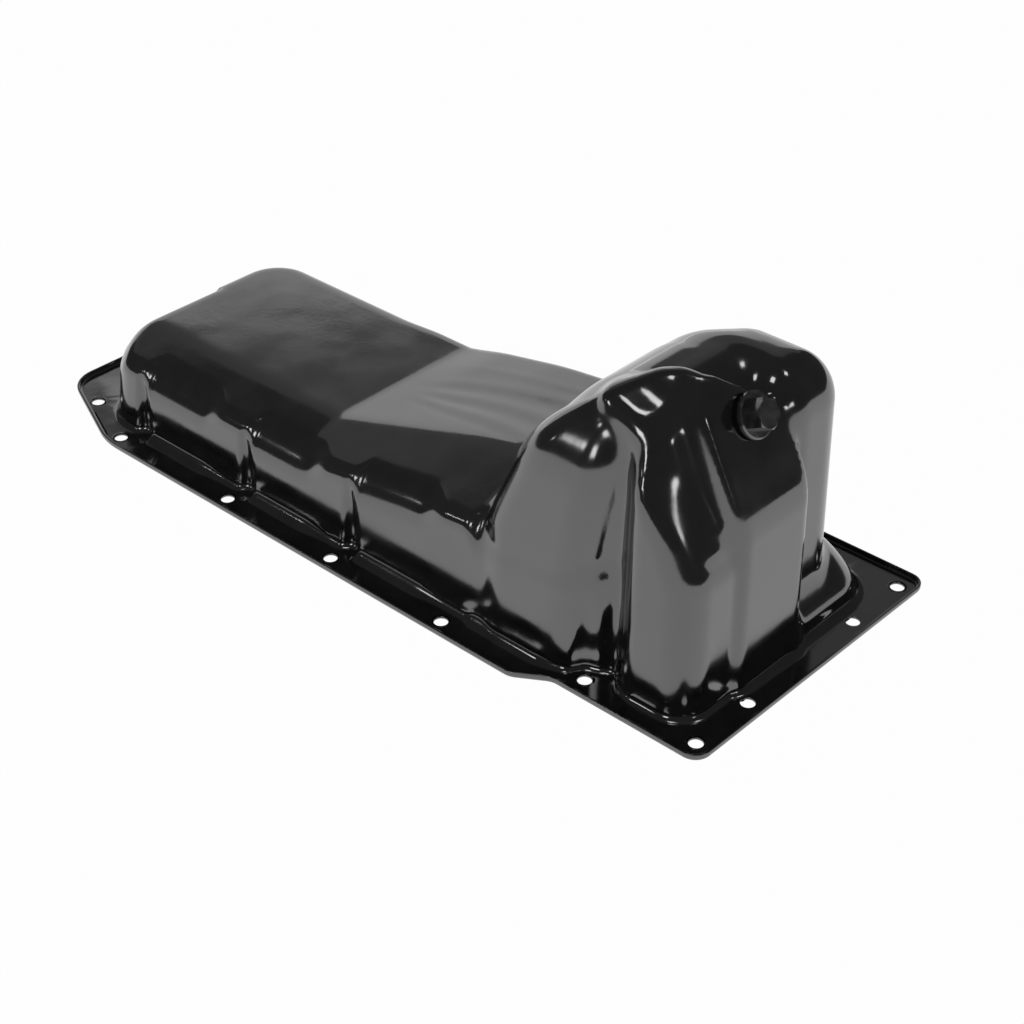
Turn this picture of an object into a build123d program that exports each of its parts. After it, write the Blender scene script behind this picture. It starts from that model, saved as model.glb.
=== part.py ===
"""Pressed-steel engine oil pan, standing on its sealing flange with the sump upward, and its drain plug.

Frame: millimetres, +X from the shallow front towards the deep rear sump, +Z up,
origin in the middle of the flange at its sealing face.
"""

import os
from math import atan, atan2, cos, degrees, radians, sin, sqrt, tan

from build123d import *

# ---------------------------------------------------------------- driving sizes
sheet = 1.5                     # thickness of the pressed sheet

# flange
flange_length = 593.8
flange_width = 259.4            # over the wide stretch beside the trough
narrow_step = 13.9              # how far each edge steps in beside the sump
rim_height = 5.0                # turned-up edge all round
rim_bend = 2.6                  # outer radius of that edge's bend
jog_length = 22.0
rear_corner_radius = 11.0
front_taper_x = 81.0            # how far each front corner is cut back along the side
front_taper_y = 34.3            # and along the front edge
front_corner_radius = 25.0
taper_radius = 60.0
jog_radius = 14.0

# edges of the flange, from which its holes and the pressed bodies keep their distances
rear_end = flange_length / 2
front_end = -flange_length / 2
wide_edge = flange_width / 2
far_edge = wide_edge - narrow_step
near_edge = -far_edge
jog_x = rear_end - 120.9        # middle of the step from wide to narrow

# bolts of the flange, M8
bolt_hole_diameter = 9.0
wide_bolt_y = wide_edge - 11.7
wide_bolt_x = (front_end + 84.0, front_end + 197.0, 0.0, rear_end - 198.3)
corner_bolt_x = rear_end - 12.8
corner_bolt_y = far_edge - 14.5
side_bolt_x = rear_end - 96.3
front_bolt_x = front_end + 34.0
front_bolt_y = wide_edge - 30.8
front_middle_bolt_x = front_end + 15.9
end_bolt_y = far_edge - 62.9    # the two middle bolts of the front and rear edges

# walls
foot_radius = 4.5               # outer radius of the bend from flange to wall

# sump's front wall
sump_front_x = rear_end - 184.8
sump_front_lean = 24.0          # degrees, above the trough
sump_lean_from = 78.0           # height where the front wall starts to lean

# trough, the shallow front part
trough_front_x = front_end + 43.0
trough_half_width = wide_edge - 24.9
trough_front_radius = 33.0
trough_height = 65.5
trough_shoulder = 20.0
trough_front_draft = 5.5
trough_near_draft = 1.5
trough_far_draft = 34.0         # the far wall leans in
ramp_start_x = sump_front_x - 182.1
ramp_slope = 0.157
trough_end_x = sump_front_x + 47.9
flute_shift = (11.0, 5.0, 5.1)  # each draw flute stands beside a bolt, in both long walls
flute_x = [x + shift for x, shift in zip(wide_bolt_x, flute_shift)]
flute_depth = 7.5
flute_radius = 15.0             # at the foot
flute_height = 62.0
flute_run_out = 5.0             # how far the flute has left the wall at its top

# main tower of the sump
tower_near_y = near_edge + 31.0  # bottom of the wide groove in the near wall
tower_far_y = far_edge - 69.8
tower_front_x = sump_front_x + 8.9
tower_rear_x = rear_end - 64.9
tower_height = 192.0
tower_shoulder = 34.0
tower_radius = 36.0

# side bulge, the near front part of the sump
side_bulge_rear_x = rear_end - 106.9
side_bulge_near_y = near_edge + 10.5
side_bulge_far_y = side_bulge_near_y + 125.3
side_bulge_flare = 0.17         # how its rear wall spreads over the groove, per millimetre of height
side_bulge_height = tower_height - 4.0
side_bulge_shoulder = 32.0
side_bulge_radius = 22.0

# far column, the far rear part of the sump
far_column_front_x = rear_end - 118.9
far_column_rear_x = rear_end - 31.9
far_column_far_y = far_edge - 54.8
far_column_near_y = far_column_far_y - 65.0
far_column_height = tower_height - 7.0
far_column_shoulder = 28.0
far_column_radius = 26.0

# corner column, at the near rear corner
column_front_x = rear_end - 82.9
column_rear_x = rear_end - 24.8
column_near_y = near_edge + 17.8
column_far_y = column_near_y + 50.0
column_radius = 20.0
column_height = tower_height - 20.0
column_shoulder = 20.0

# rear bulge, whose upper rear face tips back and carries the drain plug
bulge_front_x = rear_end - 96.9
bulge_rear_x = rear_end - 21.3
bulge_near_y = near_edge + 58.3
bulge_far_y = bulge_near_y + 69.5
bulge_radius = 12.0
bulge_height = tower_height + 4.5
bulge_shoulder = 11.5
seat_from = tower_height - 77.0  # height where the rear face starts to tip back
seat_lean = 26.6                # degrees from vertical

# low dome over the far rear corner
dome_front_x = rear_end - 176.9
dome_rear_x = rear_end - 23.9
dome_far_y = far_edge - 24.8
dome_near_y = dome_far_y - 111.0
dome_far_lean = 0.2             # how its far wall leans in, per millimetre of height
dome_height = 58.0
dome_shoulder = 30.0
dome_radius = 26.0

# drain plug, its captive gasket and the nut welded inside
plug_y = bulge_near_y + 38.2
plug_z = tower_height - 25.0
plug_hole_diameter = 16.0       # in the sheet
thread_diameter = 14.0
thread_clearance = 0.05
thread_length = 17.0
plug_flange_diameter = 28.0
plug_flange_thickness = 3.0
hex_across_flats = 17.0
hex_height = 8.5
hex_chamfer = 1.2
gasket_diameter = 25.0
gasket_thickness = 2.0
nut_diameter = 27.0
nut_height = 11.0
seat_gap = 0.02                 # between the faces that seat on each other

wall_draft = 0.012              # lean of the sump's walls, per millimetre of height

foot_angles = (72.0, 36.0, 0.0)
shoulder_angles = (0.0, 20.0, 40.0, 60.0, 78.0)
least_radius = 2.0
most_rounding = 0.4             # of a body's width, so that its straight walls stay


def foot_rows(skin):
    """(height, reach inwards) round the bend from the flange up to a wall; skin insets it by the sheet."""
    outer = foot_radius + skin
    rows = []
    for angle in foot_angles:
        a = radians(angle)
        rows.append((sheet + foot_radius - outer * sin(a), outer * cos(a) - foot_radius))
    return rows


def shoulder_rows(roof, shoulder, skin):
    """(height, reach inwards) round the bend from a wall to the roof."""
    rows = []
    for angle in shoulder_angles:
        a = radians(angle)
        rows.append((roof - shoulder + (shoulder - skin) * sin(a), shoulder - (shoulder - skin) * cos(a)))
    return rows


def rounded_loop(sides, radius, height, split_x=None):
    """Edges of a rounded rectangle (x0, x1, y0, y1), lifted to height(x); split_x adds two plain points."""
    x0, x1, y0, y1 = sides
    r = max(least_radius, min(radius, most_rounding * min(x1 - x0, y1 - y0)))
    k = r * (1.0 - cos(radians(45.0)))

    def at(x, y):
        return Vector(x, y, height(x))

    near = [at(x0 + r, y0), at(x1 - r, y0)]
    far = [at(x1 - r, y1), at(x0 + r, y1)]
    if split_x is not None:
        near.insert(1, at(split_x, y0))
        far.insert(1, at(split_x, y1))
    edges = [Edge.make_line(a, b) for a, b in zip(near, near[1:])]
    edges.append(Edge.make_three_point_arc(at(x1 - r, y0), at(x1 - k, y0 + k), at(x1, y0 + r)))
    edges.append(Edge.make_line(at(x1, y0 + r), at(x1, y1 - r)))
    edges.append(Edge.make_three_point_arc(at(x1, y1 - r), at(x1 - k, y1 - k), at(x1 - r, y1)))
    edges += [Edge.make_line(a, b) for a, b in zip(far, far[1:])]
    edges.append(Edge.make_three_point_arc(at(x0 + r, y1), at(x0 + k, y1 - k), at(x0, y1 - r)))
    edges.append(Edge.make_line(at(x0, y1 - r), at(x0, y0 + r)))
    edges.append(Edge.make_three_point_arc(at(x0, y0 + r), at(x0 + k, y0 + k), at(x0 + r, y0)))
    return edges


def skinned(foot, wall, shoulder, split_x=None):
    """A solid skinned through closed loops; its roof is flat, or two planes that meet at split_x."""
    faces = []
    hem = [edge.translate(Vector(0, 0, -2.0 * sheet)) for edge in foot[0]]
    faces += Shell.make_loft([Wire(loop) for loop in [hem] + foot + wall + shoulder], ruled=True).faces()
    roof = shoulder[-1]
    faces.append(Face(Wire(hem)))
    if split_x is None:
        faces.append(Face(Wire(roof)))
    else:
        ends = [edge @ 1 for edge in roof if abs((edge @ 1).X - split_x) < 1e-6]
        crease = Edge.make_line(ends[0], ends[1])
        faces.append(Face(Wire([edge for edge in roof if (edge @ 0.5).X < split_x] + [crease])))
        faces.append(Face(Wire([edge for edge in roof if (edge @ 0.5).X > split_x] + [crease])))
    return Solid(Shell(faces))


def drawn(sides, roof, shoulder, radius, skin, wall_heights=()):
    """A drawn body with upright rounded corners, sides(z) giving its four walls at each height."""
    def loops(rows):
        made = []
        for z, reach in rows:
            x0, x1, y0, y1 = sides(z)
            moved = (x0 + reach, x1 - reach, y0 + reach, y1 - reach)
            made.append(rounded_loop(moved, radius - reach - wall_draft * z, lambda x: z))
        return made

    wall = loops([(z, skin) for z in wall_heights])
    return skinned(loops(foot_rows(skin)), wall, loops(shoulder_rows(roof, shoulder, skin)))


def trough(skin):
    """The shallow front part with its flat floor and the ramp that rises to the sump."""
    bend = sheet + foot_radius

    def loops(rows):
        made = []
        for z, reach in rows:
            share = min(1.0, max(0.0, (z - bend) / (trough_height - trough_shoulder - bend)))
            slope = ramp_slope * max(0.0, (z - bend) / (trough_height - bend))
            x0 = trough_front_x + share * trough_front_draft + reach
            y0 = -trough_half_width + share * trough_near_draft + reach
            y1 = trough_half_width - share * trough_far_draft - reach

            def height(x):
                return z + slope * max(0.0, x - ramp_start_x)

            sides = (x0, trough_end_x - reach, y0, y1)
            made.append(rounded_loop(sides, trough_front_radius - reach, height, ramp_start_x))
        return made

    shoulder = loops(shoulder_rows(trough_height, trough_shoulder, skin))
    return skinned(loops(foot_rows(skin)), [], shoulder, ramp_start_x)


upright = (Align.CENTER, Align.CENTER, Align.MIN)
seat_tip = atan(tan(radians(seat_lean)) + wall_draft)
seat_x = bulge_rear_x - wall_draft * plug_z - tan(radians(seat_lean)) * (plug_z - seat_from)
seat = Pos(seat_x, plug_y, plug_z) * Rot(0, 90 - degrees(seat_tip), 0)
sheet_at_seat = sheet * cos(seat_tip)


def fluted(body, skin):
    """The trough with its draw flutes pressed into both long walls."""
    reach = flute_radius - flute_depth
    base = sheet - skin
    for x in flute_x:
        for side in (-1, 1):
            wall = side * trough_half_width
            lean = 0.0 if side < 0 else trough_far_draft * flute_height / (trough_height - trough_shoulder)
            cone = Cone(flute_radius + skin, reach + skin - flute_run_out, flute_height, align=upright)
            tip = degrees(atan2(lean, flute_height))
            body -= Pos(x, wall + side * reach, base) * Rot(tip, 0, 0) * cone
    return body


def front_lean(z):
    """How far the sump's front wall has leaned back at a height."""
    return tan(radians(sump_front_lean)) * max(0.0, z - sump_lean_from)


def tower(skin):
    """The main body of the sump; above the trough its front wall leans back."""
    def sides(z):
        draft = wall_draft * z
        return tower_front_x + front_lean(z), tower_rear_x - draft, tower_near_y + draft, tower_far_y - draft

    return drawn(sides, tower_height, tower_shoulder, tower_radius, skin, (sump_lean_from,))


def side_bulge(skin):
    """The near front part of the sump, whose rear wall closes over the wide groove."""
    def sides(z):
        draft = wall_draft * z
        rear = side_bulge_rear_x + side_bulge_flare * z
        return sump_front_x + front_lean(z), rear, side_bulge_near_y + draft, side_bulge_far_y

    return drawn(sides, side_bulge_height, side_bulge_shoulder, side_bulge_radius, skin, (sump_lean_from,))


def far_column(skin):
    """The far rear part of the sump, beside the rear bulge."""
    def sides(z):
        draft = wall_draft * z
        return far_column_front_x, far_column_rear_x - draft, far_column_near_y, far_column_far_y - draft

    return drawn(sides, far_column_height, far_column_shoulder, far_column_radius, skin)


def corner_column(skin):
    """The column at the near rear corner, lower than the tower."""
    def sides(z):
        draft = wall_draft * z
        return column_front_x + draft, column_rear_x - draft, column_near_y + draft, column_far_y - draft

    return drawn(sides, column_height, column_shoulder, column_radius, skin, (60.0,))


def rear_bulge(skin):
    """The rear column; its rear wall tips back from seat_from up, to face the drain plug outwards."""
    def sides(z):
        draft = wall_draft * z
        back = tan(radians(seat_lean)) * max(0.0, z - seat_from)
        return bulge_front_x + draft, bulge_rear_x - draft - back, bulge_near_y + draft, bulge_far_y - draft

    return drawn(sides, bulge_height, bulge_shoulder, bulge_radius, skin, (60.0, seat_from, 150.0))


def dome(skin):
    """The low dome over the far rear corner."""
    def sides(z):
        return dome_front_x, dome_rear_x - wall_draft * z, dome_near_y, dome_far_y - dome_far_lean * z

    return drawn(sides, dome_height, dome_shoulder, dome_radius, skin)


def flange_corners(edge):
    """Corners and radii of the flange's outline, edge millimetres inside it."""
    x0, x1 = front_end + edge, rear_end - edge
    wide, narrow = wide_edge - edge, far_edge - edge
    half_jog = jog_length / 2
    side = [
        ((x0, -wide + front_taper_y), front_corner_radius - edge),
        ((x0 + front_taper_x, -wide), taper_radius - edge),
        ((jog_x - half_jog, -wide), jog_radius),
        ((jog_x + half_jog, -narrow), jog_radius),
        ((x1, -narrow), rear_corner_radius - edge),
    ]
    return side + [((x, -y), radius) for (x, y), radius in side[::-1]]


def flange_plate(edge, low, high):
    """The flange's outline as a solid from low to high."""
    corners = flange_corners(edge)
    outline = FilletPolyline([c for c, _ in corners], radius=[r for _, r in corners], close=True)
    return extrude(Pos(0, 0, low) * make_face(outline), high - low)


def flange():
    """The flat flange with its turned-up rim."""
    plate = flange_plate(0.0, 0.0, rim_height)
    plate = fillet(plate.faces().sort_by(Axis.Z)[0].edges(), rim_bend)
    well = flange_plate(sheet, sheet, rim_height + sheet)
    well = fillet(well.faces().sort_by(Axis.Z)[0].edges(), rim_bend - sheet)
    return plate - well


def bolt_places():
    """Centres of the flange's bolt holes."""
    near = [(x, -wide_bolt_y) for x in wide_bolt_x]
    near += [(front_bolt_x, -front_bolt_y), (side_bolt_x, -corner_bolt_y), (corner_bolt_x, -corner_bolt_y)]
    near += [(front_middle_bolt_x, -end_bolt_y), (corner_bolt_x, -end_bolt_y)]
    return near + [(x, -y) for x, y in near]


def pressing():
    """The pan: one pressed sheet."""
    outside = fluted(trough(0.0), 0.0)
    inside = fluted(trough(sheet), sheet)
    for make in (tower, side_bulge, far_column, corner_column, rear_bulge, dome):
        outside += make(0.0)
        inside += make(sheet)
    below = Pos(0, 0, -5 * sheet) * Box(2 * flange_length, 2 * flange_width, 10 * sheet)
    pan = flange() + outside - inside - below
    for x, y in bolt_places():
        pan -= Pos(x, y, 0) * Cylinder(bolt_hole_diameter / 2, 2 * rim_height)
    return pan - seat * Cylinder(plug_hole_diameter / 2, 4 * sheet)


def drain_nut():
    """The threaded boss welded to the inside of the sump behind the plug."""
    body = Cylinder(nut_diameter / 2, nut_height, align=(Align.CENTER, Align.CENTER, Align.MAX))
    body = chamfer(body.faces().sort_by(Axis.Z)[0].edges(), hex_chamfer)
    body -= Cylinder(thread_diameter / 2 + thread_clearance, 3 * nut_height)
    return seat * Pos(0, 0, -sheet_at_seat - seat_gap) * body


def gasket():
    """The captive sealing washer under the plug's flange."""
    ring = Cylinder(gasket_diameter / 2, gasket_thickness, align=upright)
    ring = chamfer(ring.faces().filter_by(GeomType.PLANE).edges(), gasket_thickness / 4)
    ring -= Cylinder(thread_diameter / 2 + thread_clearance, 3 * gasket_thickness)
    return seat * Pos(0, 0, seat_gap) * ring


def drain_plug():
    """The flanged hexagon-headed drain plug."""
    low = 2 * seat_gap + gasket_thickness
    disc = Cylinder(plug_flange_diameter / 2, plug_flange_thickness, align=upright)
    disc = chamfer(disc.faces().sort_by(Axis.Z)[-1].edges(), plug_flange_thickness / 3)
    head = extrude(RegularPolygon(hex_across_flats / 2, 6, major_radius=False), hex_height)
    corner = hex_across_flats / sqrt(3)
    crown = Cone(corner + hex_height * 1.2, corner - hex_chamfer, hex_height * 1.0, align=upright)
    head = Pos(0, 0, plug_flange_thickness) * (head & crown)
    shank = Cylinder(thread_diameter / 2, thread_length, align=(Align.CENTER, Align.CENTER, Align.MAX))
    shank = chamfer(shank.faces().sort_by(Axis.Z)[0].edges(), hex_chamfer)
    return seat * Pos(0, 0, low) * (disc + head + shank)


os.makedirs("parts", exist_ok=True)
for name, piece in (
    ("pan", pressing()),
    ("drain_nut", drain_nut()),
    ("drain_gasket", gasket()),
    ("drain_plug", drain_plug()),
):
    piece.label = name
    export_step(piece, f"parts/{name}.step")
axis = (cos(seat_tip), 0.0, sin(seat_tip))
print("plug axis", [round(a, 6) for a in axis], "seat", [round(v, 4) for v in seat.position])
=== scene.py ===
import math

import bpy
import numpy as np
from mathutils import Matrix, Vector
from mathutils.geometry import delaunay_2d_cdt

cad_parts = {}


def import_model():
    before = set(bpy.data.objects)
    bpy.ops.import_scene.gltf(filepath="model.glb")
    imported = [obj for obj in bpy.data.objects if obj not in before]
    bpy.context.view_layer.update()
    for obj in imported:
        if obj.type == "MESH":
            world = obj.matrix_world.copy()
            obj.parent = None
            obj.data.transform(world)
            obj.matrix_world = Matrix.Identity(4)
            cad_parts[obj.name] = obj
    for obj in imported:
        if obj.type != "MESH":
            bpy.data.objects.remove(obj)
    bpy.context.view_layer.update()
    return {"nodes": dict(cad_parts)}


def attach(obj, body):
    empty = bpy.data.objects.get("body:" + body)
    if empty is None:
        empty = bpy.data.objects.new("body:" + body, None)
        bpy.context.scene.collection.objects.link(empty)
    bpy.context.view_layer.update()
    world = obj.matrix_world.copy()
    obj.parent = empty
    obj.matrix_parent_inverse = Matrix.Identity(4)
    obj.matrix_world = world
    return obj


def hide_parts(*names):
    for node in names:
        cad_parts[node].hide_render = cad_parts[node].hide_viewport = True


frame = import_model()

# ---------------------------------------------------------------- sizes of the pressing, in millimetres
# x runs from the front to the sump's end, y from the near side to the far one, z up from the sealing face

SHEET = 1.5                        # thickness of the pressed sheet
PLANE = SHEET                      # upper face of the flange
DRAFT = 0.012                      # lean of the sump's walls for each millimetre of height

LENGTH, WIDE, NARROW = 593.8, 259.4, 231.6      # the flange, and its width beside the sump
RIM, RIM_BEND = 5.0, 2.6                        # height of its turned-up edge, and the bend below it
BOLT = 4.5                                      # radius of a bolt hole
SCALLOP_BOLT = (200.6, -101.3)                  # the hole that the sump's wall bends round
BOLTS = [(x, -118.0) for x in (-212.9, -99.9, 0.0, 98.6)]
BOLTS += [(-262.9, -98.9), SCALLOP_BOLT, (284.1, -101.3), (-281.0, -52.9), (284.1, -52.9)]
BOLTS += [(x, -y) for x, y in BOLTS]

TROUGH_FRONT, TROUGH_LENGTH = -251.9, 460       # the trough runs on under the sump
TROUGH_WALL, TROUGH_CORNER = 104.8, 33          # its half width at the foot, and its corners in plan
TROUGH_ROOF = 65.5
TROUGH_LEAN = {"front": 5.5, "near": 1.5, "far": 34}
LEAN_FROM, LEAN_OVER = 6, 39.5                  # heights between which the walls take their lean
RAMP_FROM, RAMP_FALL = -44, 0.20                # where the ramp starts, and how steep it is
FLUTES = (-201.9, -94.9, 5.1)                   # draw flutes in both walls
FLUTE_TOP = 58
PADS = ((-232.0, -198.0), (-129.0, -91.0), (-27.0, 9.0), (76.0, 110.0))    # steep stretches beside the bolts

# each draw wrinkle: place across the ramp, how it slants, how far it stands out, how wide it is
WRINKLES = (
    (-31, 0.12, 0.34, 4.0), (-17, 0.03, -0.26, 4.6), (-3, -0.05, 0.32, 5.0), (12, -0.12, -0.28, 5.6),
    (27, -0.18, 0.30, 5.2), (-42, 0.16, -0.26, 3.4), (40, -0.10, 0.24, 4.5),
)

CROWN = 195                                     # height of the sump's ridge
RIDGE_X, RIDGE_Y = 202, -57                     # a point of the ridge
CROWN_FALL = 0.62                               # how steeply the crown falls to the near corner
REAR_WALL = 275.6                               # face of the rear bulge at its foot
# where the walls of each body of the sump stand at its foot, and its corners in plan
SUMP = {
    "tower": {"front": 121, "rear": 232, "near": -84.8, "far": 46, "corner": 34},
    "side_bulge": {"front": 112.1, "rear": 190, "near": -105.3, "far": 20, "corner": 26},
    "far_column": {"front": 178, "rear": 262, "near": -4, "far": 65, "corner": 26},
    "slope": {"front": 180, "rear": 270, "near": -84, "far": 6, "corner": 20},
    "corner_column": {"front": 214, "rear": 272.1, "near": -98, "far": -40, "corner": 20},
    "rear_bulge": {"front": 200, "rear": REAR_WALL, "near": -57.5, "far": 13, "corner": 10},
    "dome": {"front": 120, "rear": 273, "near": -20, "far": 92, "corner": 30},
}
FACET_FROM, FACET_TILT = 115, math.radians(26.6)
KNEE = 92                                       # height at which the near rear corner starts to lean

SEAT = np.array((247.5563, -19.3, 167.0))       # centre of the drain plug's seat
AXIS = np.array((0.889838, 0.0, 0.456276))      # the way the plug is drawn
PLUG_HOLE = 8.0                                 # radius of its hole in the sheet
SEAT_REACH = 12                                 # the sheet at the seat lies within this of its plane

STEP = 2.6                                      # size of a cell of the wall mesh
ROUND = 40                                      # points round a bolt hole


# ---------------------------------------------------------------- rules of form

def rect(x, y, x0, x1, y0, y1, r):
    """Distance to a rounded rectangle in plan."""
    qx = np.abs(x - (x0 + x1) / 2) - (x1 - x0) / 2 + r
    qy = np.abs(y - (y0 + y1) / 2) - (y1 - y0) / 2 + r
    return np.hypot(np.maximum(qx, 0), np.maximum(qy, 0)) + np.minimum(np.maximum(qx, qy), 0) - r


def meet(a, b, r):
    """Both, with the edge between them rounded by r."""
    return np.hypot(np.maximum(a + r, 0), np.maximum(b + r, 0)) + np.minimum(np.maximum(a, b) + r, 0) - r


def join(a, b, r):
    """Either, with the corner between them filled by r."""
    return r - np.hypot(np.maximum(r - a, 0), np.maximum(r - b, 0)) - np.minimum(r - np.minimum(a, b), 0)


def ease(t):
    """0 to 1, with a soft start and end."""
    t = np.clip(t, 0, 1)
    return t * t * (3 - 2 * t)


def bend(x, start, width):
    """max(0, x - start) with a soft start."""
    t = (x - start) / width
    return width * (np.logaddexp(0, 4 * t) / 4)


def roof(z, height, fall, cosine):
    """Distance above a roof that falls away from this height; cosine is that of its tilt."""
    return (z - height + fall) * cosine


# ---------------------------------------------------------------- the trough

def in_pad(x, slack):
    """1 on the steep stretches of the near wall, 0 between them."""
    inside = 0.0
    for left, right in PADS:
        inside = np.maximum(inside, ease((x - left + slack) / (2 * slack)) * ease((right + 4 - x) / 8))
    return inside


def foot_radius(x, y):
    """Bend from the flange into the walls: wide between the bolts and tight beside them."""
    plain, tight, far = 9.0, 5.0, 7.0
    near = plain - 3.6 * in_pad(x, 14.0) - 4.0 * ease((x - 168) / 16) - 3.6 * ease((-226 - x) / 14)
    side = ease((-40 - y) / 12)
    return far * (1 - side) + np.maximum(near, tight) * side


def ramp_height(x, y):
    """Rise of the trough's roof towards the sump, with the draw wrinkles of the pressing."""
    rise = RAMP_FALL * bend(x, RAMP_FROM, 4) - 0.04 * bend(x, 50, 30)
    far_swell = 2.0 * ease((y + 15) / 60) * ease((x + 46) / 40) * (1 - ease((x - 30) / 60))
    rise = rise + far_swell
    span = ease((x + 36) / 40) * (1 - ease((x - 84) / 40))
    for across, slant, tall, wide in WRINKLES:
        middle = across + slant * (100 - x) + 2.0 * np.sin((x + across) / 23)
        rise = rise + tall * span * np.exp(-((y - middle) / wide) ** 2)
    return rise


def trough(x, y, z):
    """The shallow part, with a roof that falls to the near wall beyond a slanting edge."""
    share = np.clip((z - LEAN_FROM) / LEAN_OVER, 0, 1.2)
    x0 = TROUGH_FRONT + TROUGH_LEAN["front"] * share
    y0 = -TROUGH_WALL + TROUGH_LEAN["near"] * share
    y1 = TROUGH_WALL - TROUGH_LEAN["far"] * share
    wall = rect(x, y, x0, x0 + TROUGH_LENGTH, y0, y1, TROUGH_CORNER)
    edge = -66 + 0.19 * bend(x, -41, 6)
    top = (z - TROUGH_ROOF - ramp_height(x, y) + 0.33 * bend(edge - y, 0, 9)) * 0.96
    front = ease((x + 250) / 30)
    near_shoulder = 17 + (21 - 12 * in_pad(x, 11.0) - 17) * front
    far_shoulder = 14 - 4 * ease((x + 110) / 40)
    return meet(wall, top, np.where(y < 0, near_shoulder, far_shoulder))


def flute(x, y, z, middle, side):
    """The cutter of one draw flute: a notch at the foot that narrows to a groove up the wall."""
    height = np.maximum(z, 0)
    far_wall = TROUGH_WALL - TROUGH_LEAN["far"] * np.clip((z - LEAN_FROM) / LEAN_OVER, 0, 1.3)
    wall = -TROUGH_WALL if side < 0 else far_wall
    out = 0.4 + 3.0 * np.exp(-height / 9)
    deep = 5.5 * np.sqrt(np.clip(1 - (height / FLUTE_TOP) ** 2, 0, 1))
    return np.hypot(x - middle, y - wall - side * out) - (out + deep)


# ---------------------------------------------------------------- the sump

def plan(name, x, y, front=0, rear=0, near=0, far=0):
    """Distance to a body in plan, with its walls moved in by these amounts."""
    b = SUMP[name]
    return rect(x, y, b["front"] + front, b["rear"] - rear, b["near"] + near, b["far"] - far, b["corner"])


def front_lean(z):
    """How far the sump's front wall leans back at a height."""
    return math.tan(math.radians(24)) * bend(z, 80, 10) + 0.05 * bend(z, 150, 12)


def past_ridge(x, y):
    """How far a place lies to the near side of the line from front to plug."""
    return (x - RIDGE_X) * 0.57 - (y - RIDGE_Y) * 0.82


def crown(x, y, z):
    """The sump's closed end: a ridge that falls away on every side of the line from front to plug."""
    u = past_ridge(x, y)
    near = roof(z, CROWN, CROWN_FALL * u, 0.85)
    back = roof(z, CROWN, -1.1 * u, 0.67)
    far = roof(z, CROWN, 0.71 * (y + 27), 0.815)
    front = roof(z, CROWN, -0.5 * (x - 206), 0.894)
    return meet(meet(near, back, 4), meet(far, front, 6), 5)


def tower(x, y, z):
    """The sump's main body."""
    inset = DRAFT * z
    top = meet(z - 184, roof(z, 190, CROWN_FALL * past_ridge(x, y), 0.85), 8)
    wall = plan("tower", x, y, front=front_lean(z), rear=inset, near=inset, far=inset)
    return meet(wall, top, 27)


def side_bulge(x, y, z):
    """The near front part, out to the trough's wall."""
    return meet(plan("side_bulge", x, y, front=front_lean(z), rear=-0.17 * z, near=DRAFT * z), z - 186, 58)


def far_column(x, y, z):
    """The far rear part, lower than the ridge."""
    return meet(plan("far_column", x, y, rear=DRAFT * z, far=DRAFT * z), z - 181, 32)


def facet(x, z):
    """The tipped plane that carries the drain plug."""
    return math.cos(FACET_TILT) * (x - REAR_WALL + DRAFT * z) + math.sin(FACET_TILT) * (z - FACET_FROM)


def slope(x, y, z):
    """The sump's top, which falls from its ridge towards the near rear corner."""
    lean = 0.46 * bend(z, KNEE + 1, 8)
    foot = 14 * (1 - ease((z - 86) / 22))
    return meet(meet(plan("slope", x, y, rear=lean + foot), facet(x, z), 4), crown(x, y, z), 8)


def corner_column(x, y, z):
    """The near rear corner, which leans in above its knee."""
    inset = DRAFT * z
    lean = 0.47 * bend(z, KNEE, 8)
    top = roof(z, 176, 0.78 * bend(x, 216, 10), 0.79)
    return meet(plan("corner_column", x, y, front=inset, rear=inset + lean, near=inset), top, 26)


def rear_bulge(x, y, z):
    """The rear wall below the plug's facet."""
    inset = DRAFT * z
    wall = plan("rear_bulge", x, y, front=inset, rear=inset, near=inset, far=inset)
    return meet(meet(wall, facet(x, z), 4), crown(x, y, z), 5)


def dome(x, y, z):
    """The low mound beside the sump's far rear corner."""
    lean = 0.50 * bend(z, 12, 8)
    top = roof(z, 60, 0.30 * bend(x, 226, 12), 0.96)
    return meet(plan("dome", x, y, rear=lean, far=0.2 * z + 0.5 * lean), top, 34)


# ---------------------------------------------------------------- the whole skin

def bodies(x, y, z):
    """Distance to the drawn bodies, before the flange."""
    low = trough(x, y, z)
    for middle in FLUTES:
        for side in (-1, 1):
            low = meet(low, -flute(x, y, z, middle, side), 2.0)
    beside_slope = 3.0 + 11 * ease((z - 98) / 22) * ease((-30 - y) / 16)
    high = tower(x, y, z)
    for body, radius in ((side_bulge, 9), (far_column, 8), (slope, 6), (corner_column, 7),
                         (rear_bulge, beside_slope), (dome, 7)):
        high = join(high, body(x, y, z), radius)
    scallop = 11.5 - 0.15 * np.maximum(z, 0) - np.hypot(x - SCALLOP_BOLT[0], y - SCALLOP_BOLT[1])
    return meet(join(low, high, 5), scallop, 4)


def field(p):
    """Distance to the upper skin, negative inside the pan."""
    x, y, z = p[..., 0], p[..., 1], p[..., 2]
    return join(bodies(x, y, z), z - PLANE, foot_radius(x, y))


def gradient(p, h=0.2):
    """Which way the field grows, by differences over h."""
    g = np.empty_like(p)
    for i in range(3):
        e = np.zeros(3)
        e[i] = h
        g[..., i] = (field(p + e) - field(p - e)) / (2 * h)
    return g


# ---------------------------------------------------------------- from the field to quads

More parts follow.
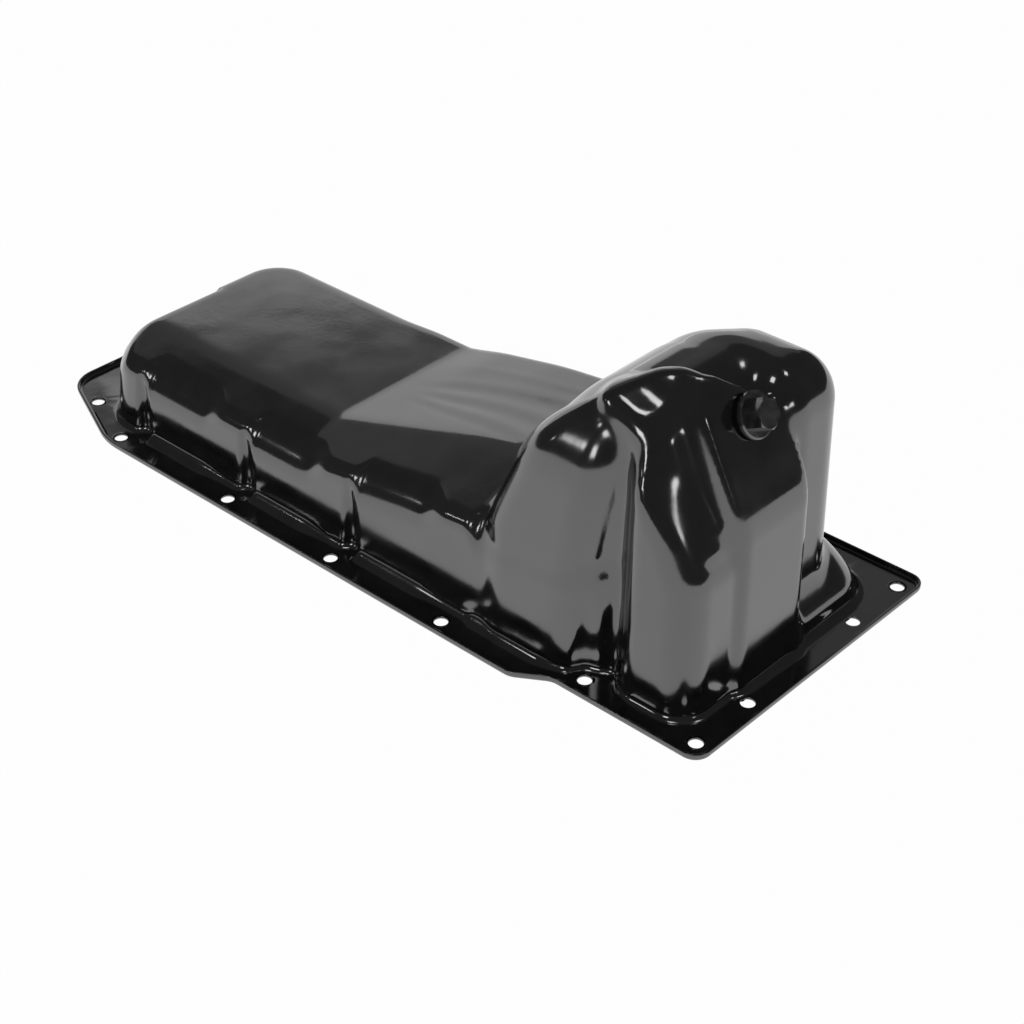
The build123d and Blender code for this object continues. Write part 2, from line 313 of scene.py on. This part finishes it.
def either_side(axis):
    """The slices that pair each grid point with the next one along an axis."""
    here, there = [slice(None)] * 3, [slice(None)] * 3
    here[axis], there[axis] = slice(0, -1), slice(1, None)
    return tuple(here), tuple(there)


def nets(xs, ys, zs):
    """Quads over the zero surface on a box grid of the given lines."""
    lines = (xs, ys, zs)
    grids = np.meshgrid(*lines, indexing="ij")
    f = field(np.stack(grids, -1))
    sign = f < 0
    shape = np.array(f.shape) - 1
    total = np.zeros(tuple(shape) + (3,))
    count = np.zeros(tuple(shape))
    for axis in range(3):
        here, there = either_side(axis)
        crossed = sign[here] != sign[there]
        at = np.argwhere(crossed)
        t = f[here][crossed] / (f[here][crossed] - f[there][crossed])
        points = np.stack([grid[here][crossed] for grid in grids], -1)
        points[:, axis] += t * (lines[axis][at[:, axis] + 1] - lines[axis][at[:, axis]])
        others = [k for k in range(3) if k != axis]
        for step_0 in (0, -1):
            for step_1 in (0, -1):
                cell = at.copy()
                cell[:, others[0]] += step_0
                cell[:, others[1]] += step_1
                ok = ((cell >= 0) & (cell < shape)).all(1)
                np.add.at(total, tuple(cell[ok].T), points[ok])
                np.add.at(count, tuple(cell[ok].T), 1)
    active = count > 0
    number = -np.ones(tuple(shape), np.int64)
    number[active] = np.arange(active.sum())
    quads = []
    for axis in range(3):
        u, v = (axis + 1) % 3, (axis + 2) % 3
        here, there = either_side(axis)
        at = np.argwhere(sign[here] != sign[there])
        at = at[(at[:, u] > 0) & (at[:, v] > 0) & (at[:, u] < shape[u]) & (at[:, v] < shape[v])]
        corners = []
        for step_u, step_v in ((-1, -1), (0, -1), (0, 0), (-1, 0)):
            cell = at.copy()
            cell[:, u] += step_u
            cell[:, v] += step_v
            corners.append(number[tuple(cell.T)])
        quad = np.stack(corners, -1)
        outward = sign[tuple(at.T)]
        quad[~outward] = quad[~outward][:, ::-1]
        quads.append(quad)
    return total[active] / count[active][:, None], np.concatenate(quads)


def project(p, rounds=3):
    """Moves points onto the zero surface."""
    for _ in range(rounds):
        g = gradient(p)
        p = p - g * (field(p) / np.maximum((g * g).sum(-1), 0.05))[:, None]
    return p


def edges_of(faces):
    """The edges of the faces, each as a pair of vertex numbers."""
    corners = faces.shape[1]
    return np.concatenate([faces[:, [i, (i + 1) % corners]] for i in range(corners)])


def relax(p, quads, rounds):
    """Evens the quads out along the surface."""
    edges = edges_of(quads)
    degree = np.zeros(len(p))
    np.add.at(degree, edges[:, 0], 1)
    np.add.at(degree, edges[:, 1], 1)
    for _ in range(rounds):
        total = np.zeros_like(p)
        np.add.at(total, edges[:, 0], p[edges[:, 1]])
        np.add.at(total, edges[:, 1], p[edges[:, 0]])
        p = project(p + 0.5 * (total / degree[:, None] - p), 1)
    return p


def boundary_loops(quads):
    """Loops of the open edges of quads, as vertex numbers."""
    edges = edges_of(quads)
    n = int(edges.max()) + 1
    lone = edges[~np.isin(edges[:, 0] * n + edges[:, 1], edges[:, 1] * n + edges[:, 0])]
    after = {int(a): int(b) for a, b in lone}
    loops = []
    while after:
        start, here = after.popitem()
        loop = [start]
        while here != start:
            loop.append(here)
            here = after.pop(here)
        loops.append(loop)
    return loops


def renumbered(faces, size):
    """The vertices that faces use, and the number of each among them."""
    used = np.unique(faces)
    number = -np.ones(size, np.int64)
    number[used] = np.arange(len(used))
    return used, number


def walls():
    """The walls and roofs as quads, and their outer edge, which lies in the flange's upper face."""
    xs = np.arange(-265.0, 291.0, STEP)
    ys = np.arange(-115.5, 117.0, STEP)
    zs = np.concatenate([np.arange(0.9, 8.0, 1.3), np.arange(9.2, 200.0, STEP)])
    verts, quads = nets(xs, ys, zs)
    centre = verts[quads].mean(1)
    foot = bodies(centre[:, 0], centre[:, 1], np.full(len(centre), PLANE))
    near_foot = foot < foot_radius(centre[:, 0], centre[:, 1]) + 1.8
    quads = quads[near_foot | (centre[:, 2] > PLANE + 1.0)]
    used, number = renumbered(quads, len(verts))
    verts, quads = verts[used], number[quads]
    verts = relax(project(verts), quads, 4)
    rim_loop = max(boundary_loops(quads), key=len)
    verts[rim_loop, 2] = PLANE
    return verts, quads, rim_loop


# ---------------------------------------------------------------- the flange in plan

def outline(edge, per_arc=8):
    """The flange's outline, edge millimetres inside it, counter-clockwise."""
    x0, x1 = -LENGTH / 2 + edge, LENGTH / 2 - edge
    wide, narrow = WIDE / 2 - edge, NARROW / 2 - edge
    near = [((x0, -wide + 34.3), 25 - edge), ((x0 + 81, -wide), 60 - edge),
            ((165, -wide), 14), ((187, -narrow), 14), ((x1, -narrow), 11 - edge)]
    corners = near + [((x, -y), r) for (x, y), r in near[::-1]]
    points = []
    for i, (corner, r) in enumerate(corners):
        corner = np.array(corner)
        a = np.array(corners[i - 1][0]) - corner
        b = np.array(corners[(i + 1) % len(corners)][0]) - corner
        a, b = a / np.linalg.norm(a), b / np.linalg.norm(b)
        half = math.acos(np.clip(a @ b, -1, 1)) / 2
        cut = r / math.tan(half)
        middle = (a + b) / np.linalg.norm(a + b) * (r / math.sin(half)) + corner
        s, e = corner + a * cut - middle, corner + b * cut - middle
        first = math.atan2(s[1], s[0])
        turn = math.atan2(s[0] * e[1] - s[1] * e[0], s @ e)
        for k in range(per_arc + 1):
            t = first + turn * k / per_arc
            points.append((middle[0] + abs(r) * math.cos(t), middle[1] + abs(r) * math.sin(t)))
    return np.array(points)


def filled_outline(edge, pieces):
    """The outline with each of its lengths cut into the given number of pieces."""
    points = outline(edge)
    out = []
    for p, q, n in zip(points, np.roll(points, -1, 0), pieces):
        out += [p + (q - p) * k / n for k in range(n)]
    return np.array(out)


def circle(middle, r, turns):
    return [(middle[0] + r * math.cos(t), middle[1] + r * math.sin(t)) for t in turns]


def within(points, polygon):
    """Which points lie inside a polygon."""
    x, y = points[:, 0], points[:, 1]
    inside = np.zeros(len(points), bool)
    for (x0, y0), (x1, y1) in zip(polygon, np.roll(polygon, -1, 0)):
        if y0 != y1:
            inside ^= ((y0 > y) != (y1 > y)) & (x < (x1 - x0) * (y - y0) / (y1 - y0) + x0)
    return inside


def add_ring(points, edges, ring):
    """Adds a closed ring in plan, and gives the number of its first point."""
    start = len(points)
    points += [tuple(p) for p in ring]
    edges += [(start + i, start + (i + 1) % len(ring)) for i in range(len(ring))]
    return start


def flange(foot, pieces):
    """Triangles from the walls' foot out to the rim's bend, with the bolt holes left open.

    Gives the points in plan, which of them stand for each other, the triangles, and where the rim's ring
    and each hole's ring start among the points."""
    points, edges, hole_starts = [], [], []
    inner = filled_outline(RIM_BEND, pieces)
    add_ring(points, edges, foot)
    rim_start = add_ring(points, edges, inner)
    add_ring(points, edges, filled_outline(RIM_BEND + 1.5, pieces))
    turns = [2 * math.pi * k / ROUND for k in range(ROUND)]
    for bolt in BOLTS:
        hole_starts.append(add_ring(points, edges, circle(bolt, BOLT + 0.35, turns)))
        add_ring(points, edges, circle(bolt, BOLT + 2.0, turns))
    got, _, found, origin, _, _ = delaunay_2d_cdt([Vector(p) for p in points], edges, [], 0, 1e-5)
    number, stands_for = [], {}
    for place, sources in zip(got, origin):
        if not sources:
            points.append(tuple(place))
            sources = [len(points) - 1]
        number.append(min(sources))
        stands_for.update({k: min(sources) for k in sources})
    triangles = np.array([[number[i] for i in t] for t in found if len(t) == 3])
    level = np.array(points)
    middle = level[triangles].mean(1)
    keep = within(middle, inner) & ~within(middle, foot)
    for x, y in BOLTS:
        keep &= np.hypot(middle[:, 0] - x, middle[:, 1] - y) > BOLT + 0.3
    triangles = triangles[keep]
    a, b, c = (level[triangles[:, i]] for i in range(3))
    turned = np.cross(b - a, c - a) < 0
    triangles[turned] = triangles[turned][:, ::-1]
    return points, stands_for, triangles, rim_start, hole_starts


# ---------------------------------------------------------------- the sheet

def strip(rings):
    """Faces between rings of vertex numbers."""
    faces = []
    for lower, upper in zip(rings, rings[1:]):
        for k in range(len(lower)):
            j = (k + 1) % len(lower)
            faces.append((lower[k], lower[j], upper[j], upper[k]))
    return faces


def add_level(blocks, ring, height):
    """Adds a ring of points at one height, and gives their numbers."""
    start = sum(len(block) for block in blocks)
    blocks.append(np.column_stack([ring, np.full(len(ring), height)]))
    return list(range(start, start + len(ring)))


def rim_profile():
    """(inset, height) up the inside of the rim, over its edge and down the outside to the sealing face."""
    inside = RIM_BEND - SHEET
    soft, blunt = 0.4, 0.12
    profile = []
    for degrees in (30, 60, 90):
        t = math.radians(degrees)
        profile.append((RIM_BEND - inside * math.sin(t), PLANE + inside * (1 - math.cos(t))))
    profile += [(SHEET, RIM - soft), (SHEET - blunt, RIM - blunt), (SHEET - soft, RIM)]
    profile += [(soft, RIM), (blunt, RIM - blunt), (0, RIM - soft)]
    for degrees in (90, 72, 54, 36, 18):
        t = math.radians(degrees)
        profile.append((RIM_BEND - RIM_BEND * math.sin(t), RIM_BEND - RIM_BEND * math.cos(t)))
    return profile


def pan_mesh():
    """The whole pressing: both skins, the rim between them and the walls of its holes."""
    verts, quads, rim_loop = walls()
    base = outline(RIM_BEND)
    lengths = [float(np.linalg.norm(q - p)) for p, q in zip(base, np.roll(base, -1, 0))]
    pieces = [max(1, round(length / 12)) for length in lengths]
    level, stands_for, triangles, rim_start, hole_starts = flange(verts[rim_loop, :2], pieces)

    # upper skin: the walls' vertices, then those of the flange that aren't on the walls' foot
    size = len(verts)
    flat = np.array([(x, y, PLANE) for x, y in level[len(rim_loop):]])
    number = list(rim_loop) + [size + i for i in range(len(flat))]
    number = np.array([number[stands_for.get(i, i)] for i in range(len(level))])
    upper = np.concatenate([verts, flat])
    faces = [tuple(q) for q in quads] + [tuple(number[t]) for t in triangles]

    # the faces at the plug go, which leaves its hole with a ragged edge
    from_seat = upper - SEAT
    along = from_seat @ AXIS
    radial = np.linalg.norm(from_seat - along[:, None] * AXIS, axis=1)
    gone = (radial < PLUG_HOLE) & (np.abs(along) < SEAT_REACH)
    faces = [f for f in faces if not any(gone[i] for i in f)]

    # lower skin: one sheet's thickness below
    normals = np.zeros_like(upper)
    g = gradient(upper[:size])
    normals[:size] = g / np.linalg.norm(g, axis=1)[:, None]
    normals[size:] = (0, 0, 1)
    normals[rim_loop] = (0, 0, 1)
    n = len(upper)
    blocks = [upper, upper - SHEET * normals]
    sheet = faces + [tuple(int(i) + n for i in f[::-1]) for f in faces]

    rings = [[int(number[rim_start + i]) for i in range(sum(pieces))]]
    for inset, height in rim_profile():
        rings.append(add_level(blocks, filled_outline(inset, pieces), height))
    rings.append([i + n for i in rings[0]])
    sheet += strip(rings)

    # bolt holes: a rolled edge above, a sharp one below
    turns = np.linspace(0, 2 * np.pi, ROUND, endpoint=False)
    for start, bolt in zip(hole_starts, BOLTS):
        rings = [[int(number[start + k]) for k in range(ROUND)]]
        for r, height in ((BOLT + 0.1, PLANE - 0.1), (BOLT, PLANE - 0.35), (BOLT, 0.2)):
            rings.append(add_level(blocks, np.array(circle(bolt, r, turns)), height))
        rings.append([i + n for i in rings[0]])
        sheet += [f[::-1] for f in strip(rings)]

    # plug hole: its ragged edge is drawn onto the circle and walled
    cloud = np.concatenate(blocks)
    pairs = dict.fromkeys((f[i], f[(i + 1) % len(f)]) for f in faces for i in range(len(f)))
    lone = [(a, b) for a, b in pairs if (b, a) not in pairs]
    hole = [(a, b) for a, b in lone if radial[a] < 2 * PLUG_HOLE and abs(along[a]) < SEAT_REACH]
    for i in sorted({i for pair in hole for i in pair}):
        for j in (i, i + n):
            height = (cloud[j] - SEAT) @ AXIS
            out = cloud[j] - SEAT - height * AXIS
            cloud[j] = SEAT + height * AXIS + out / np.linalg.norm(out) * PLUG_HOLE
    sheet += [(b, a, a + n, b + n) for a, b in hole]

    used, number = renumbered(np.array([i for f in sheet for i in f]), len(cloud))
    mesh = bpy.data.meshes.new("pan_skin")
    mesh.from_pydata((cloud[used] / 1000).tolist(), [], [[int(number[i]) for i in f] for f in sheet])
    mesh.validate()
    mesh.shade_smooth()
    mesh.set_sharp_from_angle(angle=math.radians(50))
    return mesh


pan = bpy.data.objects.new("pan_skin", pan_mesh())
bpy.context.scene.collection.objects.link(pan)


# ---------------------------------------------------------------- materials

def shader(name, base, rough, ior):
    """A material, its nodes, its links and its main shader node."""
    m = bpy.data.materials.new(name)
    m.use_nodes = True
    b = m.node_tree.nodes["Principled BSDF"]
    b.inputs["Base Color"].default_value = (*base, 1)
    b.inputs["Roughness"].default_value = rough
    b.inputs["IOR"].default_value = ior
    return m, m.node_tree.nodes, m.node_tree.links, b


def noise(nodes, links, scale, detail):
    place = nodes.new("ShaderNodeTexCoord")
    tex = nodes.new("ShaderNodeTexNoise")
    tex.inputs["Scale"].default_value = scale
    tex.inputs["Detail"].default_value = detail
    links.new(place.outputs["Object"], tex.inputs["Vector"])
    return tex.outputs["Fac"]


def remap(nodes, links, value, low, high, a, b):
    node = nodes.new("ShaderNodeMapRange")
    node.inputs["From Min"].default_value = low
    node.inputs["From Max"].default_value = high
    node.inputs["To Min"].default_value = a
    node.inputs["To Max"].default_value = b
    links.new(value, node.inputs["Value"])
    return node.outputs["Result"]


def bump(nodes, links, height, strength, distance, under=None):
    node = nodes.new("ShaderNodeBump")
    node.inputs["Strength"].default_value = strength
    node.inputs["Distance"].default_value = distance
    links.new(height, node.inputs["Height"])
    if under is not None:
        links.new(under, node.inputs["Normal"])
    return node.outputs["Normal"]


def mottle(nodes, links, value, dark, light):
    """Two shades, each given with the value at which it starts."""
    node = nodes.new("ShaderNodeValToRGB")
    for element, (shade, position) in zip(node.color_ramp.elements, (dark, light)):
        element.color = (*shade, 1)
        element.position = position
    links.new(value, node.inputs["Fac"])
    return node.outputs["Color"]


def black_paint():
    """Gloss paint with long waves, a fine peel and a little mottling."""
    m, nodes, links, b = shader("black_paint", (0.012, 0.012, 0.013), 0.13, 2.1)
    links.new(remap(nodes, links, noise(nodes, links, 26, 5), 0.35, 0.7, 0.09, 0.17), b.inputs["Roughness"])
    waves = bump(nodes, links, noise(nodes, links, 14, 2), 0.25, 0.0016)
    peel = bump(nodes, links, noise(nodes, links, 260, 2), 0.06, 0.0003, waves)
    links.new(peel, b.inputs["Normal"])
    shades = mottle(nodes, links, noise(nodes, links, 60, 6),
                    ((0.009, 0.009, 0.010), 0.35), ((0.020, 0.020, 0.021), 0.75))
    links.new(shades, b.inputs["Base Color"])
    return m


def plug_paint():
    """Thin paint over the plug's turned steel."""
    m, nodes, links, b = shader("plug_paint", (0.02, 0.02, 0.021), 0.18, 2.1)
    links.new(remap(nodes, links, noise(nodes, links, 160, 5), 0.35, 0.7, 0.14, 0.3), b.inputs["Roughness"])
    links.new(bump(nodes, links, noise(nodes, links, 700, 3), 0.1, 0.0002), b.inputs["Normal"])
    shades = mottle(nodes, links, noise(nodes, links, 220, 6),
                    ((0.018, 0.018, 0.019), 0.4), ((0.06, 0.06, 0.062), 0.8))
    links.new(shades, b.inputs["Base Color"])
    return m


def seal():
    """Dull black rubber."""
    m, nodes, links, b = shader("seal", (0.02, 0.02, 0.022), 0.5, 1.5)
    links.new(remap(nodes, links, noise(nodes, links, 400, 4), 0.3, 0.7, 0.4, 0.65), b.inputs["Roughness"])
    links.new(bump(nodes, links, noise(nodes, links, 1500, 2), 0.2, 0.0001), b.inputs["Normal"])
    return m


paint, steel, rubber = black_paint(), plug_paint(), seal()
pan.data.materials.append(paint)
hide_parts("pan")
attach(pan, "pan_body")
for name, material in (("pan", paint), ("drain_nut", steel), ("drain_gasket", rubber), ("drain_plug", steel)):
    node = frame["nodes"][name]
    node.data.materials.clear()
    node.data.materials.append(material)

# ---------------------------------------------------------------- camera and studio, in metres

CAMERA_AT = (0.8073, -0.8234, 0.7650)
CAMERA_TURN, CAMERA_TILT = math.radians(42.64), math.radians(34.34)
FOCAL_PIXELS, PICTURE_PIXELS, SENSOR = 2050, 1024, 36
FLOOR_SIZE, FLOOR_DROP = 14, 0.0002
FLOOR_GLOW = 0.985                 # how much of the floor's look is its own even white

# name, place, aim, width and height, power
LAMPS = (
    ("backdrop", (-2.6, 2.2, 0.91), (0, 0, 0.91), (4.4, 1.9), 22),
    ("ceiling", (-1.9, 1.75, 2.06), (-0.1, 0.1, 0.1), (4.2, 1.25), 2.1),
    ("flash", (-0.96, -1.165, 0.53), (0.05, -0.05, 0.1), (0.05, 0.05), 0.10),
    ("flash_mid", (-0.67, -1.44, 0.74), (0.18, -0.09, 0.15), (0.22, 0.22), 0.9),
    ("flash_side", (1.95, -0.10, 0.71), (0.24, -0.07, 0.15), (0.20, 0.20), 0.7),
    ("flash_rear", (0.35, -1.7, 0.75), (0.15, -0.05, 0.1), (0.42, 0.42), 3.0),
    ("high_near", (0.30, -0.75, 2.6), (0.15, -0.05, 0.1), (0.50, 0.50), 4.0),
    ("high_far", (0.9, 0.9, 2.4), (0.1, 0, 0.1), (0.36, 0.36), 2.2),
)

scene = bpy.context.scene
scene.view_settings.view_transform = "Standard"


def add_object(name, data):
    o = bpy.data.objects.new(name, data)
    scene.collection.objects.link(o)
    return o


def camera():
    """The photograph's camera."""
    data = bpy.data.cameras.new("camera")
    data.sensor_width = SENSOR
    data.lens = FOCAL_PIXELS / PICTURE_PIXELS * SENSOR
    data.clip_end = 60
    o = add_object("camera", data)
    o.location = CAMERA_AT
    forward = Vector((-math.sin(CAMERA_TURN) * math.cos(CAMERA_TILT),
                      math.cos(CAMERA_TURN) * math.cos(CAMERA_TILT), -math.sin(CAMERA_TILT)))
    o.rotation_euler = forward.to_track_quat("-Z", "Y").to_euler()
    return o


def lamp(name, place, aim, size, power):
    light = bpy.data.lights.new(name, "AREA")
    light.shape = "RECTANGLE"
    light.size, light.size_y = size
    light.energy = power
    o = add_object(name, light)
    o.location = place
    o.rotation_euler = (Vector(aim) - Vector(place)).to_track_quat("-Z", "Y").to_euler()


def mixed(tree, factor, first, second, out):
    """Joins two shaders by a factor and sends them to the output."""
    mix = tree.nodes.new("ShaderNodeMixShader")
    tree.links.new(factor, mix.inputs["Fac"])
    tree.links.new(first.outputs[0], mix.inputs[1])
    tree.links.new(second.outputs[0], mix.inputs[2])
    tree.links.new(mix.outputs[0], out.inputs["Surface"])


def floor_material():
    """Even white to the camera and in reflections, matt pale grey to all other light."""
    m = bpy.data.materials.new("floor")
    m.use_nodes = True
    tree = m.node_tree
    tree.nodes.clear()
    diffuse = tree.nodes.new("ShaderNodeBsdfDiffuse")
    diffuse.inputs["Color"].default_value = (0.85, 0.85, 0.85, 1)
    glow = tree.nodes.new("ShaderNodeEmission")
    glow.inputs["Strength"].default_value = 1.0
    path = tree.nodes.new("ShaderNodeLightPath")
    seen = tree.nodes.new("ShaderNodeMath")
    seen.operation = "MAXIMUM"
    tree.links.new(path.outputs["Is Camera Ray"], seen.inputs[0])
    tree.links.new(path.outputs["Is Glossy Ray"], seen.inputs[1])
    share = tree.nodes.new("ShaderNodeMath")
    share.operation = "MULTIPLY"
    share.inputs[1].default_value = FLOOR_GLOW
    tree.links.new(seen.outputs[0], share.inputs[0])
    mixed(tree, share.outputs[0], diffuse, glow, tree.nodes.new("ShaderNodeOutputMaterial"))
    return m


def floor_mesh():
    m = bpy.data.meshes.new("floor")
    s = FLOOR_SIZE / 2
    m.from_pydata([(x, y, -FLOOR_DROP) for x, y in ((-s, -s), (s, -s), (s, s), (-s, s))], [], [(0, 1, 2, 3)])
    m.materials.append(floor_material())
    return m


def background(tree, level):
    node = tree.nodes.new("ShaderNodeBackground")
    node.inputs["Color"].default_value = (level, level, level, 1)
    return node


def world():
    """White behind the object, dim grey to the light."""
    w = bpy.data.worlds.new("world")
    w.use_nodes = True
    tree = w.node_tree
    tree.nodes.clear()
    path = tree.nodes.new("ShaderNodeLightPath")
    mixed(tree, path.outputs["Is Camera Ray"], background(tree, 0.07), background(tree, 1),
          tree.nodes.new("ShaderNodeOutputWorld"))
    return w


scene.camera = camera()
floor = add_object("floor", floor_mesh())
scene.world = world()
for row in LAMPS:
    lamp(*row)
